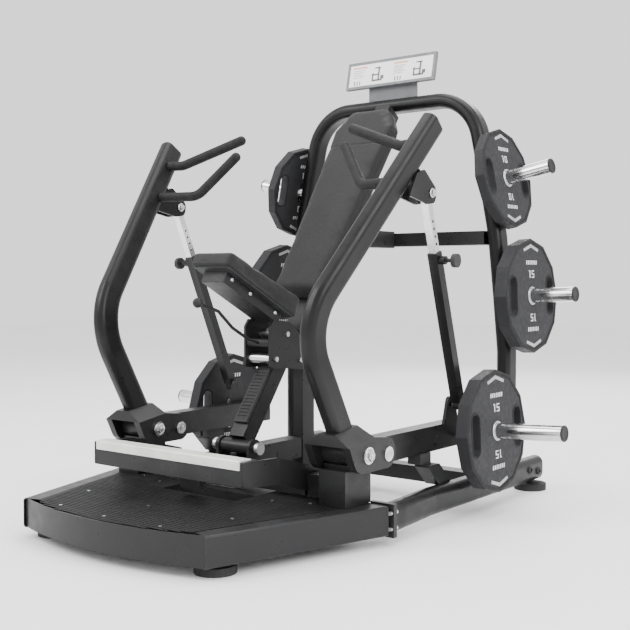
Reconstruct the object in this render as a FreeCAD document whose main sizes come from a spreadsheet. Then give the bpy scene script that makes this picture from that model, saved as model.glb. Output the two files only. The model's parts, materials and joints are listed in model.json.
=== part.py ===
import FreeCAD, Part
import math
import os
from FreeCAD import Placement, Rotation, Vector

# Plate-loaded incline press: a steel base with a padded seat and back, two lever arms that swing
# on pivots beside the foot bar, and storage horns on the arch behind.
# Millimetres, +Z up, +Y to the rear, +X to the sitter's left. While it is laid out, Y = 0 is the
# lever pivots' axis; every piece is then moved so that the origin is the middle of the footprint.

DOC = FreeCAD.newDocument("incline_press")
SHEET = DOC.addObject("Spreadsheet::Sheet", "sizes")
SIZES = {
    "front_reach": 561.0, "rear_reach": 1081.0, "frame_wall": 3.0,
    "rail_top": 115.0, "rail_bottom": 30.0, "rail_width": 60.0,
    "front_corner_x": 366.0, "front_corner_y": 500.0, "joint_x": 536.0, "joint_y": 62.0,
    "rear_rail_x": 487.0, "deck_thickness": 6.0, "deck_notch": 300.0, "deck_gap": 2.0,
    "foot_radius": 56.0, "foot_thickness": 22.0, "foot_stem_radius": 10.0,
    "pivot_x": 416.0, "pivot_z": 260.0, "barrel_radius": 37.0, "barrel_length": 105.0,
    "clevis_inside": 108.0, "clevis_outside": 158.0, "pivot_pin_radius": 14.0,
    "post_width": 92.0, "post_depth": 122.0, "lever_pin_y": 99.0, "lever_pin_z": 252.0,
    "lever_pin_radius": 11.0, "running_gap": 0.05,
    "lever_width": 55.0, "lever_height": 78.0, "lever_end_y": 640.0,
    "arm_width": 50.0, "arm_depth": 80.0, "arm_bend_radius": 190.0, "grip_radius": 16.0,
    "arch_width": 50.0, "arch_depth": 80.0, "arch_y": 880.0, "arch_top": 1408.0,
    "cross_z": 890.0, "horn_radius": 25.0, "horn_relief": 0.4,
    "plate_bore": 25.5, "grip_slot_width": 44.0, "grip_slot_share": 0.66,
    "grip_slot_offset_share": 0.7,
    "back_angle": 34.0, "back_length": 783.0, "back_thickness": 58.0, "back_half_top": 80.0,
    "back_half_wide": 128.0, "back_half_low": 98.0, "back_foot_y": 285.0, "back_foot_z": 710.0,
    "seat_angle": 23.5, "seat_length": 368.0, "seat_thickness": 47.0, "seat_rear_thickness": 72.0,
    "seat_width": 156.0, "seat_nose_y": -100.0, "seat_nose_z": 834.0,
    "carriage_width": 90.0, "carriage_height": 36.0, "carriage_length": 280.0,
    "post_foot": 110.0, "post_head": 452.0, "spine_width": 60.0, "seat_post_width": 40.0,
    "seat_post_depth": 60.0, "release_y": 118.0, "release_z": 548.0,
    "seat_post_y": 340.0, "strut_width": 58.0, "strut_depth": 56.0,
    "bracket_plate": 8.0, "bracket_inside": 94.0, "bolt_radius": 8.0,
    "foot_bar_half": 301.0, "foot_bar_front": 297.0, "foot_bar_depth": 62.0,
    "foot_bar_top": 260.0, "foot_bar_bottom": 192.0, "tread_thickness": 4.0,
    "sleeve_size": 32.0, "link_tube_size": 24.0, "link_gap": 0.4, "link_pin_radius": 8.0,
    "sign_half": 192.0, "sign_height": 104.0, "sign_z": 1507.0, "sign_y": 856.0,
    "sign_lean": 12.0, "sign_depth": 14.0,
}
for row, (alias, value) in enumerate(SIZES.items(), 1):
    SHEET.set(f"A{row}", alias)
    SHEET.set(f"B{row}", str(value))
    SHEET.setAlias(f"B{row}", alias)
DOC.recompute()

NODES = []
SIDES = {"left": 1, "right": -1}
UP = Vector(0, 0, 1)
ALONG_X = Vector(1, 0, 0)
ALONG_Y = Vector(0, 1, 0)


def size(formula):
    """The present value of a formula on the sheet, such as 'sizes.arm_width / 2'."""
    return float(SHEET.evalExpression(formula.replace("sizes.", "")))


def keep(label, piece):
    """List a finished piece as a sub-part."""
    piece.Label = label
    NODES.append(piece)
    return piece


# ------------------------------------------------------------------ shape helpers

def box(name, length, width, height, centre, pitch=0.0):
    """A block about a centre, pitched about X in degrees; its sides are sheet formulas."""
    block = DOC.addObject("Part::Box", name)
    sides = (length, width, height)
    for side, formula in zip(("Length", "Width", "Height"), sides):
        block.setExpression(side, formula)
    turn = Rotation(ALONG_X, pitch)
    half = Vector(*[size(formula) / 2 for formula in sides])
    block.Placement = Placement(centre - turn.multVec(half), turn)
    return block


def hollow_box(name, length, width, height, centre, along, pitch=0.0):
    """A square tube, open at both ends of the axis 'along' (0, 1 or 2 for its own X, Y, Z)."""
    sides = [length, width, height]
    inner = [f"{side} - 2 * sizes.frame_wall" for side in sides]
    inner[along] = f"{sides[along]} + 2"
    outside = box(name + "_outside", *sides, centre, pitch)
    inside = box(name + "_inside", *inner, centre, pitch)
    return cut(name, outside, inside)


def rod(name, radius, length, start, direction=UP):
    """A round bar from a point along a direction."""
    bar = DOC.addObject("Part::Cylinder", name)
    bar.setExpression("Radius", radius)
    bar.setExpression("Height", length)
    bar.Placement = Placement(start, Rotation(UP, direction))
    return bar


def cut(name, base, tool):
    result = DOC.addObject("Part::Cut", name)
    result.Base = base
    result.Tool = tool
    return result


def fuse(name, pieces):
    result = DOC.addObject("Part::MultiFuse", name)
    result.Shapes = pieces
    result.Refine = True
    return result


def group(name, pieces):
    """Separate solids kept together as one sub-part."""
    result = DOC.addObject("Part::Compound", name)
    result.Links = pieces
    return result


def rounded(points, radii, closed=True):
    """Straight runs through the points, joined by tangent arcs of the given radii."""
    count = len(points)
    starts, ends, arcs = [], [], []
    for i, (corner, radius) in enumerate(zip(points, radii)):
        tip = not closed and i in (0, count - 1)
        if radius <= 0 or tip:
            starts.append(corner)
            ends.append(corner)
            arcs.append(None)
            continue
        before = (points[i - 1] - corner).normalize()
        after = (points[(i + 1) % count] - corner).normalize()
        half = before.getAngle(after) / 2
        reach = radius / math.tan(half)
        bisector = (before + after).normalize()
        first = corner + before * reach
        last = corner + after * reach
        middle = corner + bisector * (radius / math.sin(half) - radius)
        starts.append(first)
        ends.append(last)
        arcs.append(Part.Arc(first, middle, last))
    curves = []
    for i in range(count):
        if arcs[i]:
            curves.append(arcs[i])
        following = (i + 1) % count
        if following == 0 and not closed:
            break
        if (starts[following] - ends[i]).Length > 1e-6:
            curves.append(Part.LineSegment(ends[i], starts[following]))
    return curves


def flat(points):
    return [Vector(a, b, 0) for a, b in points]


def padded(name, plane, outline, thickness, holes=()):
    """A body: an outline on one of its own planes, padded equally to both sides."""
    body = DOC.addObject("PartDesign::Body", name)
    sketch = body.newObject("Sketcher::SketchObject", name + "_outline")
    origin = [f for f in body.Origin.OriginFeatures if f.Role == plane][0]
    sketch.AttachmentSupport = [(origin, "")]
    sketch.MapMode = "FlatFace"
    for curve in list(outline) + list(holes):
        sketch.addGeometry(curve, False)
    pad = body.newObject("PartDesign::Pad", name + "_pad")
    pad.Profile = sketch
    pad.setExpression("Length", thickness)
    pad.Midplane = True
    body.Tip = pad
    return body


def place(piece, base, turn=Rotation()):
    piece.Placement = Placement(base, turn)
    return piece


def section(width, depth, corner, centre, side, face):
    """A rounded rectangle about a centre: width along 'side', depth along 'face'."""
    ends = ((-1, -1), (1, -1), (1, 1), (-1, 1))
    corners = [centre + side * (a * width / 2) + face * (b * depth / 2) for a, b in ends]
    return Part.Wire([c.toShape() for c in rounded(corners, [corner] * 4)])


def swept(path, bend, width, depth, corner, side):
    """A bent tube with walls: the section's width lies along 'side'."""
    wall = size("sizes.frame_wall")
    spine = Part.Wire([c.toShape() for c in rounded(path, [bend] * len(path), closed=False)])
    heading = (path[1] - path[0]).normalize()
    side = (side - heading * side.dot(heading)).normalize()
    face = heading.cross(side)
    outside = section(width, depth, corner, path[0], side, face)
    inside = section(width - 2 * wall, depth - 2 * wall, corner - wall, path[0], side, face)
    shells = [spine.makePipeShell([wire], True, False) for wire in (outside, inside)]
    return shells[0].cut(shells[1])


def round_bar(path, bend, radius):
    """A bent round bar whose last end is a dome."""
    spine = Part.Wire([c.toShape() for c in rounded(path, [bend] * len(path), closed=False)])
    heading = path[1] - path[0]
    ring = Part.Wire([Part.Circle(path[0], heading, radius).toShape()])
    bar = spine.makePipeShell([ring], True, False)
    return bar.fuse(Part.makeSphere(radius, path[-1]))


def feature(name, shape):
    """A piece whose bent shape no primitive or pad fits."""
    piece = DOC.addObject("Part::Feature", name)
    piece.Shape = shape
    return piece


# ------------------------------------------------------------------ base

def side_rails():
    """Front side beams, splayed from the front corner to the bolted joint."""
    height = size("sizes.rail_top - sizes.rail_bottom")
    width = size("sizes.rail_width")
    middle = size("(sizes.rail_top + sizes.rail_bottom) / 2")
    for side, way in SIDES.items():
        front = Vector(way * size("sizes.front_corner_x - 30"), -size("sizes.front_corner_y"), middle)
        joint = Vector(way * size("sizes.joint_x - 30"), size("sizes.joint_y - 6"), middle)
        beam = swept([front, joint], 0, width, height, 8, ALONG_X)
        beam_piece = feature("front_beam_" + side, beam)
        flange = box("front_flange_" + side, "80", "8", "sizes.rail_top - sizes.rail_bottom + 10",
                     Vector(joint.x, joint.y + 4, middle))
        keep("side_rail_" + side, group("side_rail_" + side, [beam_piece, flange]))


def front_fascia():
    """Bowed sheet across the front of the base."""
    corner_x = size("sizes.front_corner_x")
    corner_y = -size("sizes.front_corner_y")
    reach = -size("sizes.front_reach")
    gauge = size("sizes.frame_wall + 1")
    outer = Part.Arc(Vector(-corner_x, corner_y, 0), Vector(0, reach, 0), Vector(corner_x, corner_y, 0))
    inner = Part.Arc(Vector(corner_x, corner_y + gauge, 0), Vector(0, reach + gauge, 0),
                     Vector(-corner_x, corner_y + gauge, 0))
    ends = [Part.LineSegment(Vector(way * corner_x, corner_y, 0),
                             Vector(way * corner_x, corner_y + gauge, 0)) for way in (1, -1)]
    sheet = padded("front_fascia", "XY_Plane", [outer, ends[0], inner, ends[1]],
                   "sizes.rail_top - sizes.rail_bottom - 2")
    keep("front_fascia", place(sheet, Vector(0, 0, size("(sizes.rail_top + sizes.rail_bottom) / 2"))))


def deck():
    """Foot deck between the side beams, notched at the rear for the foot bar."""
    gap = size("sizes.deck_gap + sizes.rail_width")
    front_x = size("sizes.front_corner_x") - gap
    rear_x = size("sizes.joint_x") - gap
    front_y = -size("sizes.front_corner_y") + 6
    rear_y = size("sizes.joint_y") - 10
    bow_y = -size("sizes.front_reach") + 8
    notch = size("sizes.deck_notch / 2")
    notch_y = -165
    edge = flat([(front_x, front_y), (rear_x, rear_y), (notch, rear_y), (notch, notch_y),
                 (-notch, notch_y), (-notch, rear_y), (-rear_x, rear_y), (-front_x, front_y)])
    lines = [Part.LineSegment(a, b) for a, b in zip(edge, edge[1:])]
    bow = Part.Arc(edge[-1], Vector(0, bow_y, 0), edge[0])
    panel = padded("deck_panel", "XY_Plane", lines + [bow], "sizes.deck_thickness")
    keep("deck_panel", place(panel, Vector(0, 0, size("sizes.rail_top - sizes.deck_thickness / 2"))))


def deck_screws():
    places = [(0, -520), (0, -360), (200, -505), (-200, -505), (290, -330), (-290, -330),
              (230, -95), (-230, -95), (340, -60), (-340, -60)]
    heads = []
    for i, (x, y) in enumerate(places):
        heads.append(rod(f"deck_screw_{i}", "5", "2", Vector(x, y, size("sizes.rail_top"))))
    keep("deck_screws", group("deck_screws", heads))


def rear_rails():
    """Rear base tubes, bent from the joint in to the straight run under the arch."""
    height = size("sizes.rail_top - sizes.rail_bottom")
    middle = size("(sizes.rail_top + sizes.rail_bottom) / 2")
    for side, way in SIDES.items():
        joint_x = way * size("sizes.joint_x - 30")
        run_x = way * size("sizes.rear_rail_x")
        start_y = size("sizes.joint_y + 10")
        path = [Vector(joint_x, start_y, middle), Vector(joint_x, start_y + 60, middle),
                Vector(run_x, start_y + 260, middle), Vector(run_x, size("sizes.rear_reach - 16"), middle)]
        tube = feature("rear_tube_" + side, swept(path, 260, 56, height, 26, ALONG_X))
        flange = box("rear_flange_" + side, "80", "8", "sizes.rail_top - sizes.rail_bottom + 10",
                     Vector(joint_x, start_y - 4, middle))
        keep("rear_rail_" + side, group("rear_rail_" + side, [tube, flange]))


def crossbeams():
    """Base tubes across the machine and the centre tube that carries the seat post."""
    low = Vector(0, 0, size("(sizes.rail_top + sizes.rail_bottom) / 2"))
    front = hollow_box("front_beam", "640", "50", "60", low + Vector(0, -300, 4), 0)
    middle = hollow_box("middle_beam", "900", "100", "68", low + Vector(0, 0, 1), 0)
    rear = hollow_box("rear_crossbeam", "2 * sizes.rear_rail_x - 58", "60", "50",
                      low + Vector(0, 670, 12), 0)
    keep("base_crossbeams", group("base_crossbeams", [front, middle, rear]))
    centre = hollow_box("centre_rail", "60", "588", "50", low + Vector(0, 345, 12), 1)
    keep("centre_rail", centre)


def feet():
    """Round rubber feet on short stems."""
    pads = []
    for side, way in SIDES.items():
        for end, x, y in (("front", 318, -425), ("rear", 487, 1025)):
            pad = rod(f"pad_{end}_{side}", "sizes.foot_radius", "sizes.foot_thickness",
                      Vector(way * x, y, 0))
            stem = rod(f"stem_{end}_{side}", "sizes.foot_stem_radius",
                       "sizes.rail_bottom - sizes.foot_thickness",
                       Vector(way * x, y, size("sizes.foot_thickness")))
            pads.append(fuse(f"foot_{end}_{side}", [pad, stem]))
    keep("rubber_feet", group("rubber_feet", pads))


def flange_bolts():
    """Two bolts through each pair of joint flanges."""
    bolts = []
    for side, way in SIDES.items():
        for i, z in enumerate((50, 95)):
            start = Vector(way * size("sizes.joint_x + 2"), size("sizes.joint_y - 16"), z)
            bolts.append(rod(f"flange_bolt_{side}_{i}", "6", "36", start, ALONG_Y))
    return bolts


# ------------------------------------------------------------------ lever pivots and foot bar

def pivot_posts():
    """Posts on the base, each topped by the bearing barrel of a lever pivot."""
    posts = []
    for side, way in SIDES.items():
        centre_x = way * size("sizes.pivot_x")
        bore = size("sizes.pivot_pin_radius + sizes.running_gap")
        top = size("sizes.pivot_z - sizes.barrel_radius + 6")
        foot = size("sizes.rail_top + 0.2")
        column = hollow_box("column_" + side, "sizes.post_width", "sizes.post_depth", str(top - foot - 12),
                            Vector(centre_x, 2, (top + foot) / 2 - 6), 2)
        cap = box("column_cap_" + side, "sizes.post_width", "sizes.post_depth - 50", "16",
                  Vector(centre_x, 0, top - 6))
        lid = box("column_lid_" + side, "sizes.post_width", "sizes.post_depth", "5",
                  Vector(centre_x, 2, top - 14))
        start = Vector(centre_x - size("sizes.barrel_length / 2"), 0, size("sizes.pivot_z"))
        barrel = rod("barrel_" + side, "sizes.barrel_radius", "sizes.barrel_length", start, ALONG_X)
        solid = fuse("post_solid_" + side, [column, lid, cap, barrel])
        drill = rod("post_bore_" + side, str(bore), "sizes.barrel_length + 2",
                    start - Vector(1, 0, 0), ALONG_X)
        posts.append(cut("pivot_post_" + side, solid, drill))
    keep("pivot_posts", group("pivot_posts", posts))


def foot_bar():
    """Foot bar on two cranked side plates, with a ribbed tread on its front edge."""
    half = size("sizes.foot_bar_half")
    front = -size("sizes.foot_bar_front")
    depth = size("sizes.foot_bar_depth")
    middle = size("(sizes.foot_bar_top + sizes.foot_bar_bottom) / 2")
    bar = hollow_box("foot_bar", "2 * sizes.foot_bar_half - 20.4", "sizes.foot_bar_depth",
                     "sizes.foot_bar_top - sizes.foot_bar_bottom",
                     Vector(0, front + depth / 2, middle), 0)
    keep("foot_bar", bar)
    outline = flat([(front, 260), (-155, 254), (61, 195), (61, 116), (-146, 177), (front, 192)])
    plates = []
    for side, way in SIDES.items():
        plate = padded("foot_bar_arm_" + side, "YZ_Plane", rounded(outline, [4, 60, 4, 4, 60, 4]), "10")
        plates.append(place(plate, Vector(way * (half - 5), 0, 0)))
    keep("foot_bar_arms", group("foot_bar_arms", plates))
    lip = size("sizes.tread_thickness")
    top = size("sizes.foot_bar_top")
    outline = flat([(front - lip, top - 22), (front - lip, top + lip), (front + 44, top + lip),
                    (front + 44, top + 0.1), (front - 0.1, top + 0.1), (front - 0.1, top - 22)])
    tread = padded("foot_tread", "YZ_Plane", rounded(outline, [0, 3, 0, 0, 0, 0]),
                   "2 * sizes.foot_bar_half - 26")
    keep("foot_tread", tread)
    cross = []
    spans = {"centre": (0, 2 * half - 20.4)}
    inner = size("sizes.pivot_x - sizes.post_width / 2")
    for side, way in SIDES.items():
        spans[side] = (way * (half + inner) / 2, inner - half - 0.4)
    for name, (x, span) in spans.items():
        cross.append(hollow_box("pivot_crossbeam_" + name, str(span), "60", "64", Vector(x, 8, 158), 0))
    keep("pivot_crossbeam", group("pivot_crossbeam", cross))
    low = rod("bumper_bar", "9", "330", Vector(-165, -181, 166), ALONG_X)
    block = box("bumper_block", "70", "40", "44", Vector(0, -181, 160))
    bore = rod("bumper_bore", "9.1", "80", Vector(-40, -181, 166), ALONG_X)
    return low, cut("bumper_block_drilled", block, bore)


# ------------------------------------------------------------------ seat

def seat_frame(bumper_bar):
    """Spine, upright post, inclined strut with its cover, and the bracket that carries the seat."""
    spine = hollow_box("spine_tube", "sizes.spine_width", "252", "64", Vector(0, 164, 198), 1)
    ears = []
    for side, way in SIDES.items():
        ear = padded("strut_ear_" + side, "YZ_Plane",
                     rounded(flat([(-12, 190.3), (42, 190.3), (42, 262), (-12, 262)]), [2, 2, 26, 26]), "10")
        ears.append(place(ear, Vector(way * 63, 0, 0)))
    keep("spine_beam", group("spine_beam", [spine] + ears))

    post = hollow_box("seat_post", "sizes.seat_post_width", "sizes.seat_post_depth",
                      "sizes.post_head - sizes.post_foot - 0.4",
                      Vector(0, size("sizes.seat_post_y"),
                             size("(sizes.post_head + sizes.post_foot) / 2")), 2)
    keep("seat_post", post)

    foot = Vector(0, 15, 235)
    head = Vector(0, 200, 491.5)
    run = head - foot
    pitch = math.degrees(math.atan2(run.z, run.y))
    tube = box("strut_tube", "sizes.strut_width", str(run.Length - 34), "sizes.strut_depth",
               foot + run * 0.5 + run.normalize() * 4, pitch)
    eye = rod("strut_eye", "22", "112", Vector(-56, foot.y, foot.z), ALONG_X)
    drill = rod("strut_bore", "sizes.bolt_radius + 2", "140", Vector(-70, foot.y, foot.z), ALONG_X)
    keep("seat_strut", cut("seat_strut", fuse("strut_body", [tube, eye]), drill))

    out = Vector(0, -math.sin(math.radians(pitch)), math.cos(math.radians(pitch)))
    face = foot + run.normalize() * 175 + out * size("sizes.strut_depth / 2 + 5")
    cover = box("cover_shell", "sizes.strut_width - 6", "220", "9.6", face, pitch)
    ribs = []
    for i in range(16):
        ribs.append(box(f"cover_groove_{i}", "sizes.strut_width - 20", "5", "4",
                        face + run.normalize() * (-90 + 12 * i) + out * 4.8, pitch))
    keep("strut_cover", cut("strut_cover", cover, fuse("cover_grooves", ribs)))

    outline = flat([(104, 470), (104, 600), (122, 622), (200, 612), (245, 579), (322, 478),
                    (300, 452), (206, 464)])
    plates = []
    offset = size("(sizes.bracket_inside + sizes.bracket_plate) / 2")
    for side, way in SIDES.items():
        plate = padded("bracket_plate_" + side, "YZ_Plane", rounded(outline, [10, 6, 6, 8, 20, 10, 10, 20]),
                       "sizes.bracket_plate")
        plates.append(place(plate, Vector(way * offset, 0, 0)))
    keep("seat_bracket", group("seat_bracket", plates))

    bolts = [bumper_bar]
    wide = size("sizes.bracket_inside + 2 * sizes.bracket_plate")
    for i, (y, z) in enumerate(((128, 498), (251, 489), (183, 574))):
        spacer = rod(f"bracket_spacer_{i}", "sizes.bolt_radius + 7", "sizes.bracket_inside - 0.2",
                     Vector(-size("sizes.bracket_inside / 2 - 0.1"), y, z), ALONG_X)
        bolts.append(spacer)
        for side, way in SIDES.items():
            bolts.append(rod(f"bracket_bolt_{i}_{side}", "sizes.bolt_radius", "7",
                             Vector(way * (wide / 2 + 0.1), y, z), ALONG_X * way))
    bolts.append(rod("release_pin", "4", "sizes.bracket_inside - 0.2",
                     Vector(-size("sizes.bracket_inside / 2 - 0.1"), size("sizes.release_y"),
                            size("sizes.release_z")), ALONG_X))
    bolts.append(rod("strut_bolt", "sizes.bolt_radius + 2 - sizes.running_gap", "160",
                     Vector(-80, foot.y, foot.z), ALONG_X))
    for side, way in SIDES.items():
        bolts.append(rod("strut_bolt_head_" + side, "19", "11", Vector(way * 80, foot.y, foot.z),
                         ALONG_X * way))
    return bolts


def seat():
    """Wedge-shaped seat pad, thicker at its rear, on a carriage that slides along its underside."""
    angle = size("sizes.seat_angle")
    length = size("sizes.seat_length")
    front = size("sizes.seat_thickness")
    rear = size("sizes.seat_rear_thickness")
    nose = Vector(0, size("sizes.seat_nose_y"), size("sizes.seat_nose_z"))
    profile = flat([(0, 0), (length, 0), (length, -rear), (0, -front)])
    pad = padded("seat_pad", "YZ_Plane", rounded(profile, [14, 14, 8, 8]), "sizes.seat_width")
    turn = Rotation(ALONG_X, -angle)
    keep("seat_pad", place(pad, nose, turn))

    low_angle = -angle - math.degrees(math.atan2(rear - front, length))
    low_turn = Rotation(ALONG_X, low_angle)
    chin = nose - turn.multVec(UP) * front
    centre = (chin + low_turn.multVec(ALONG_Y) * (44 + size("sizes.carriage_length / 2"))
              - low_turn.multVec(UP) * (0.4 + size("sizes.carriage_height / 2")))
    carriage = hollow_box("seat_carriage", "sizes.carriage_width", "sizes.carriage_length",
                          "sizes.carriage_height", centre, 1, low_angle)
    keep("seat_carriage", carriage)


def release_lever():
    """Bent rod with a round knob under the seat's nose."""
    pivot = Vector(0, size("sizes.release_y"), size("sizes.release_z"))
    path = [Vector(0, -160, 679), Vector(0, -72, 652), Vector(0, -10, 600), Vector(0, 66, 560),
            pivot - ALONG_Y * 6]
    bar = round_bar(list(reversed(path)), 26, 5)
    knob = Part.makeSphere(15, path[0])
    eye = Part.makeCylinder(12, 88, pivot - ALONG_X * 44, ALONG_X)
    bore = Part.makeCylinder(4 + size("sizes.running_gap"), 90, pivot - ALONG_X * 45, ALONG_X)
    keep("release_lever", feature("release_lever", bar.fuse([knob, eye]).cut(bore)))


# ------------------------------------------------------------------ back rest, arch, sign

def back_rest():
    """Back pad and the tube behind it, parallel to it, from the seat post to the arch."""
    angle = size("sizes.back_angle")
    turn = Rotation(ALONG_X, 90 - angle)
    along = turn.multVec(ALONG_Y)
    out = turn.multVec(UP)
    foot = Vector(0, size("sizes.back_foot_y"), size("sizes.back_foot_z"))
    length = size("sizes.back_length")
    low = size("sizes.back_half_low")
    wide = size("sizes.back_half_wide")
    top = size("sizes.back_half_top")
    outline = flat([(-low, 0), (low, 0), (wide - 8, 560), (wide, 700), (top, length), (-top, length),
                    (-wide, 700), (8 - wide, 560)])
    pad = padded("back_pad", "XY_Plane", rounded(outline, [24, 24, 200, 26, 26, 26, 26, 200]),
                 "sizes.back_thickness")
    keep("back_pad", place(pad, foot - out * size("sizes.back_thickness / 2"), turn))

    behind = size("sizes.back_thickness") + 0.4 + 35
    start = foot - out * behind + along * (-110)
    tube = hollow_box("back_tube", "60", "955", "70", start + along * 477.5, 1, 90 - angle)
    keep("back_tube", tube)
    brace = hollow_box("back_brace", "60", "250", "60", Vector(0, 712, size("sizes.cross_z")), 1)
    leg = hollow_box("back_leg", "50", "76", "172", Vector(0, size("sizes.seat_post_y"), 538), 2)
    keep("back_supports", group("back_supports", [brace, leg]))


def arch():
    """Rear arch with leaning legs, its crossbeam and the storage horns."""
    y = size("sizes.arch_y")
    top = size("sizes.arch_top - sizes.arch_width / 2")
    half = [(466, 112), (466, 500), (448, 700), (428, 900), (388, 1110), (330, top), (0, top)]
    path = [Vector(x, y, z) for x, z in half] + [Vector(-x, y, z) for x, z in reversed(half[:-1])]
    radii = [0, 300, 600, 500, 400, 170, 0, 170, 400, 500, 600, 300, 0]
    spine = Part.Wire([c.toShape() for c in rounded(path[:6] + path[7:], radii[:6] + radii[7:], False)])
    shells = []
    for inset in (0, size("sizes.frame_wall")):
        ring = section(size("sizes.arch_width") - 2 * inset, size("sizes.arch_depth") - 2 * inset,
                       22 - inset, path[0], ALONG_X, ALONG_Y)
        shells.append(spine.makePipeShell([ring], True, False))
    keep("arch", feature("arch", shells[0].cut(shells[1])))
    beam = hollow_box("arch_crossbeam", "788", "72", "48", Vector(0, y, size("sizes.cross_z")), 0)
    keep("arch_crossbeam", beam)


def tilted(way, degrees):
    lift = math.radians(degrees)
    return Vector(way * math.cos(lift), 0, math.sin(lift))


# name: plate's outer face centre, tilt, horn length outside and inside it, plate radius, thickness
STATIONS = {
    "upper": (Vector(466, 880, 1094), 11.0, 164, 54, 174, 32),
    "middle": (Vector(561, 880, 691), 2.6, 155, 92, 194, 42),
    "lever": (Vector(587, 587, 268), 3.0, 226, 132, 195, 40),
}


def horns():
    """Chrome storage horns on the arch, each with a collar that its plate rests against."""
    made = []
    for side, way in SIDES.items():
        for name in ("upper", "middle"):
            made.append(horn(name, side, way))
    keep("storage_horns", group("storage_horns", made))


def horn(name, side, way):
    face, tilt, outside, inside, _, thickness = STATIONS[name]
    heading = tilted(way, tilt)
    start = Vector(way * face.x, face.y, face.z) - heading * inside
    seat = rod(f"horn_seat_{name}_{side}", "sizes.horn_radius - sizes.horn_relief", str(inside + 1),
               start, heading)
    free = rod(f"horn_free_{name}_{side}", "sizes.horn_radius", str(outside - 1),
               start + heading * (inside + 1), heading)
    collar_end = inside - thickness - 0.3
    collar = rod(f"horn_collar_{name}_{side}", "sizes.horn_radius + 12", "6",
                 start + heading * (collar_end - 6), heading)
    return fuse(f"horn_{name}_{side}", [seat, free, collar])


def weight_plates():
    """Twelve-sided plates with two oval grip openings, one on each horn."""
    wide = size("sizes.grip_slot_width / 2")
    for side, way in SIDES.items():
        for name, (face, tilt, _, _, reach, thickness) in STATIONS.items():
            label = f"weight_plate_{name}_{side}"
            corners = [Vector(reach * math.sin(math.radians(30 * i)),
                              reach * math.cos(math.radians(30 * i)), 0) for i in range(12)]
            offset = reach * size("sizes.grip_slot_offset_share")
            tall = reach * size("sizes.grip_slot_share") / 2
            holes = [Part.Circle(Vector(), UP, size("sizes.plate_bore"))]
            for edge in (offset, -offset):
                slot = flat([(edge - wide, -tall), (edge + wide, -tall), (edge + wide, tall),
                             (edge - wide, tall)])
                holes += rounded(slot, [wide - 0.5] * 4)
            disc = padded(label, "XY_Plane", rounded(corners, [6] * 12), str(thickness), holes)
            heading = tilted(way, tilt)
            centre = Vector(way * face.x, face.y, face.z) - heading * (thickness / 2)
            upright = heading.cross(ALONG_Y) * way
            turn = Rotation(ALONG_Y, upright * -1 if upright.z < 0 else upright, heading, "ZXY")
            keep(label, place(disc, centre, turn))


def sign():
    """Instruction board in a frame above the arch, leaning back, on a bent sheet bracket."""
    lean = -size("sizes.sign_lean")
    centre = Vector(0, size("sizes.sign_y"), size("sizes.sign_z"))
    frame = box("sign_block", "2 * sizes.sign_half", "sizes.sign_depth", "sizes.sign_height", centre, lean)
    out = Rotation(ALONG_X, lean).multVec(ALONG_Y)
    recess = box("sign_recess", "2 * sizes.sign_half - 20", "6", "sizes.sign_height - 20",
                 centre - out * size("sizes.sign_depth / 2 - 1"), lean)
    stand = box("sign_stand", "210", "6", "62", Vector(0, size("sizes.sign_y + 14"), 1438), 0)
    keep("sign_frame", fuse("sign_frame", [cut("sign_tray", frame, recess), stand]))
    panel = box("sign_panel", "2 * sizes.sign_half - 20.6", "2.6", "sizes.sign_height - 20.6",
                centre - out * size("sizes.sign_depth / 2 - 2.5"), lean)
    keep("sign_panel", panel)


# ------------------------------------------------------------------ lever arms

def pivot_box(side, way):
    """Clevis that straddles the bearing barrel, with sloping shoulders up to the arm."""
    centre_x = way * size("sizes.pivot_x")
    pivot_z = size("sizes.pivot_z")
    shoulder_front = Vector(-84, 288, 0)
    shoulder_rear = Vector(35, 307, 0)
    outline = [shoulder_front, shoulder_rear, Vector(140, 294, 0), Vector(140, 211, 0),
               Vector(-47, 211, 0)]
    inside = size("sizes.clevis_inside")
    outside = size("sizes.clevis_outside")
    cheeks = []
    for edge in (-1, 1):
        cheek = padded(f"cheek_{side}_{edge + 1}", "YZ_Plane", rounded(outline, [0, 0, 40, 40, 46]),
                       "(sizes.clevis_outside - sizes.clevis_inside) / 2")
        cheeks.append(place(cheek, Vector(centre_x + edge * (inside + outside) / 4, 0, 0)))
    run = (shoulder_rear - shoulder_front)
    lift = math.degrees(math.atan2(run.y, run.x))
    roof = DOC.addObject("Part::Wedge", "roof_" + side)
    for prop, formula in (("Xmax", "sizes.clevis_outside"), ("X2min", "sizes.clevis_outside / 2 - 27"),
                          ("X2max", "sizes.clevis_outside / 2 + 27")):
        roof.setExpression(prop, formula)
    roof.Xmin = roof.Ymin = roof.Zmin = 0
    roof.Ymax = 32
    roof.Zmax = run.Length
    roof.Z2min = 6
    roof.Z2max = run.Length - 6
    turn = Rotation(ALONG_X, 90 + lift)
    roof.Placement = Placement(Vector(centre_x - outside / 2, shoulder_rear.x, shoulder_rear.y), turn)
    solid = fuse("clevis_" + side, cheeks + [roof])
    holes = fuse("clevis_holes_" + side, [
        rod("pivot_hole_" + side, "sizes.pivot_pin_radius", "200",
            Vector(centre_x - 100, 0, pivot_z), ALONG_X),
        rod("lever_hole_" + side, "sizes.lever_pin_radius", "200",
            Vector(centre_x - 100, size("sizes.lever_pin_y"), size("sizes.lever_pin_z")), ALONG_X)])
    keep("pivot_box_" + side, cut("pivot_box_" + side, solid, holes))


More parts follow.
